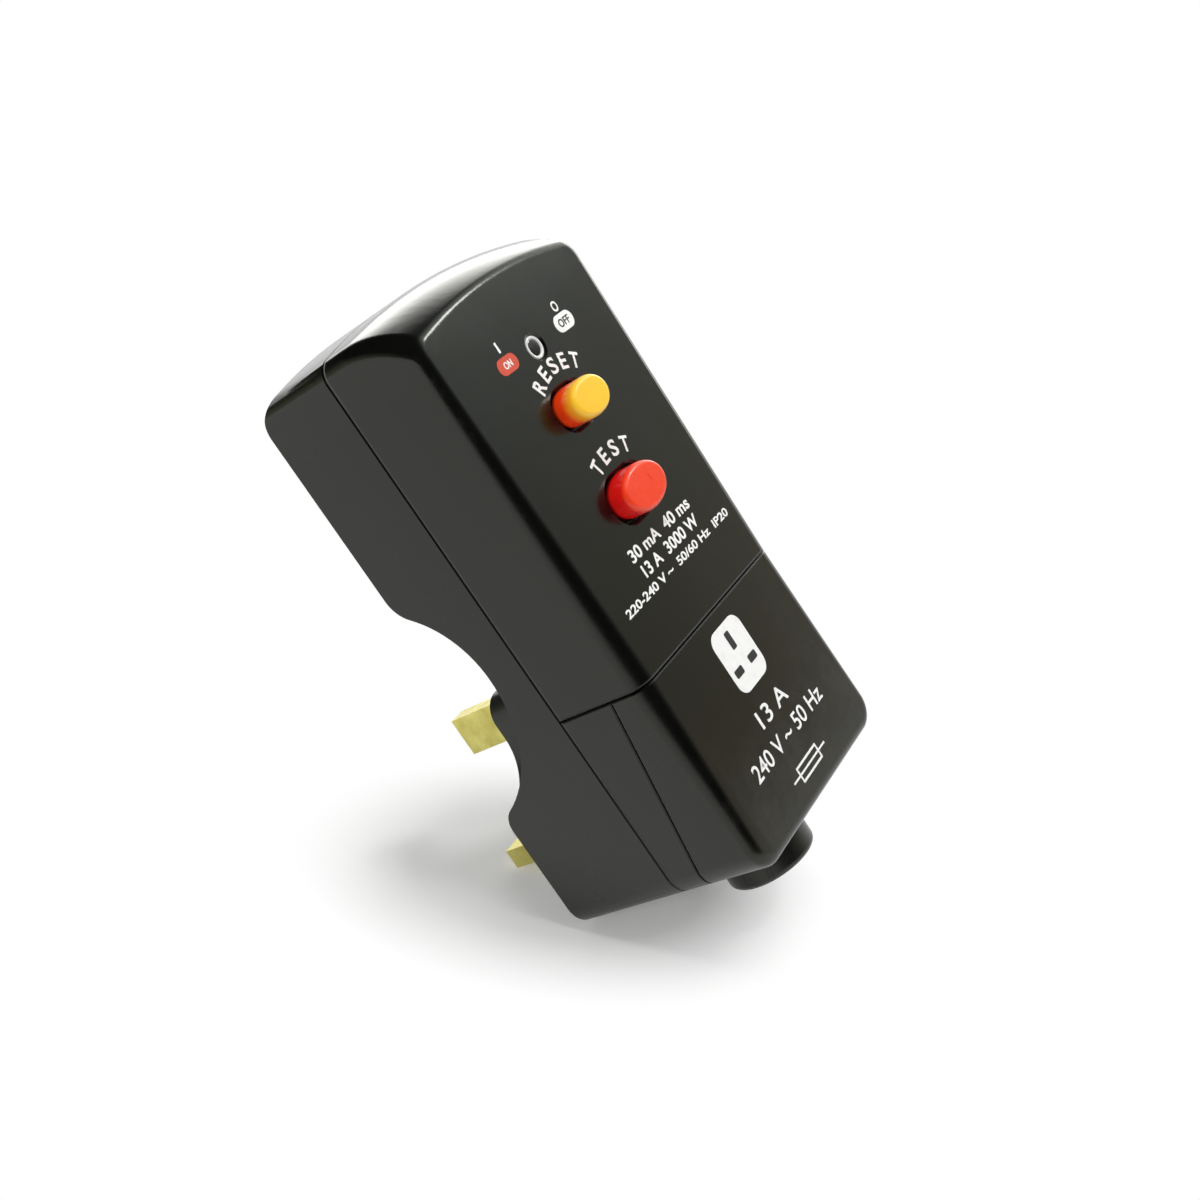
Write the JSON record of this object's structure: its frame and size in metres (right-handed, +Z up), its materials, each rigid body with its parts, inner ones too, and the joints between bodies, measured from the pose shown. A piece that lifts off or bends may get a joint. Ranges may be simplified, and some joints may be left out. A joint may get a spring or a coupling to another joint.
{
  "type": "rcd adapter plug",
  "caption": "Black fused plug with a residual-current trip, orange reset and red test buttons, and a round cord outlet.",
  "frame": {"origin": "on the mating face, midway between the two lower pins", "axes": "+Z up along the housing to its indicator end, +X to the right as seen from the front, +Y out of the mating face towards the wall, along the pins"},
  "size_m": [0.0504, 0.0717, 0.121],
  "materials": {
    "black_plastic": "fine satin moulding",
    "inner_plastic": "matt moulding",
    "brass": "bright",
    "steel": "zinc plated",
    "orange_plastic": "gloss",
    "red_plastic": "gloss",
    "white_plastic": "matt",
    "clear_plastic": "clear",
    "ceramic": "glazed",
    "board_green": "solder mask",
    "copper": "enamelled wire",
    "ferrite": "sintered",
    "component_blue": "dipped",
    "component_yellow": "moulded",
    "component_black": "moulded",
    "component_tan": "lacquered"
  },
  "bodies": {
    "housing": {"rear_base": "black_plastic", "inner_chassis": "black_plastic", "upper_cover": "black_plastic", "line_pin": "brass", "neutral_pin": "brass", "earth_pin": "brass", "pin_sleeves": "black_plastic", "fuse_clips": "brass", "line_strap": "brass", "neutral_strap": "brass", "earth_strap": "brass", "line_terminal": "brass", "neutral_terminal": "brass", "earth_terminal": "brass", "terminal_screws": "steel", "load_links": "brass", "outgoing_straps": "brass", "cord_gland": "black_plastic", "cord_clamp_bar": "inner_plastic", "clamp_screws": "steel", "reset_spring": "steel", "leaf_bracket": "brass", "leaf_pin": "steel", "test_pad": "brass", "window_lens": "clear_plastic", "circuit_board": "board_green", "sensing_core": "ferrite", "core_winding": "copper", "film_capacitors": "component_yellow", "varistor": "component_blue", "chip": "component_black", "resistors": "component_tan", "thyristor": "component_black", "fixed_contacts": "brass", "carriage_spring": "steel", "flag_bracket": "inner_plastic", "flag_pin": "steel", "coil_bobbin": "white_plastic", "coil_winding": "copper", "coil_yoke": "steel", "plunger_spring": "steel", "lever_pin": "steel", "case_screws": "steel", "cover_screws": "steel", "chassis_screws": "steel"},
    "cover": {"terminal_cover": "black_plastic"},
    "carrier": {"fuse_carrier": "black_plastic", "fuse_tube": "ceramic", "fuse_caps": "steel"},
    "reset": {"reset_button": "orange_plastic"},
    "test": {"test_button": "red_plastic"},
    "leaf": {"test_leaf": "brass"},
    "carriage": {"contact_carriage": "white_plastic", "moving_contacts": "brass"},
    "flag": {"indicator_flag": "component_black", "flag_plate": "orange_plastic"},
    "plunger": {"plunger": "steel"},
    "latch": {"latch_lever": "white_plastic"}
  },
  "joints": [
    {"name": "cover_off", "type": "slide", "parent": "housing", "child": "cover", "axis": [0, -1, 0], "range_m": [0, 0.018]},
    {"name": "carrier_pull", "type": "slide", "parent": "housing", "child": "carrier", "axis": [0, 1, 0], "range_m": [0, 0.014]},
    {"name": "reset_press", "type": "slide", "parent": "housing", "child": "reset", "axis": [0, 1, 0], "range_m": [0, 0.003], "stiffness_N_per_m": 500, "springref_m": -0.002, "deforming": ["reset_spring"]},
    {"name": "test_press", "type": "slide", "parent": "housing", "child": "test", "axis": [0, 1, 0], "range_m": [0, 0.002], "stiffness_N_per_m": 500, "springref_m": -0.002},
    {"name": "leaf_bend", "type": "hinge", "parent": "housing", "child": "leaf", "pos_m": [0, -0.0339, 0.0423], "axis": [-1, 0, 0], "range_deg": [0, 15.6]},
    {"name": "carriage_slide", "type": "slide", "parent": "housing", "child": "carriage", "axis": [0, -1, 0], "range_m": [0, 0.0025], "deforming": ["carriage_spring"]},
    {"name": "flag_rock", "type": "hinge", "parent": "housing", "child": "flag", "pos_m": [0, -0.0332, 0.0787], "axis": [-1, 0, 0], "range_deg": [0, 32.1]},
    {"name": "plunger_pull", "type": "slide", "parent": "housing", "child": "plunger", "axis": [0, 0, -1], "range_m": [0, 0.001], "stiffness_N_per_m": 300, "springref_m": -0.002, "deforming": ["plunger_spring"]},
    {"name": "latch_turn", "type": "hinge", "parent": "housing", "child": "latch", "pos_m": [-0.0052, -0.036, 0.05285], "axis": [0, -1, 0], "range_deg": [0, 7.3]}
  ],
  "couplings": [
    {"joint": "leaf_bend", "follows": "test_press", "rad_per_m": 135},
    {"joint": "flag_rock", "follows": "carriage_slide", "rad_per_m": 223.4},
    {"joint": "latch_turn", "follows": "plunger_pull", "rad_per_m": 125}
  ]
}
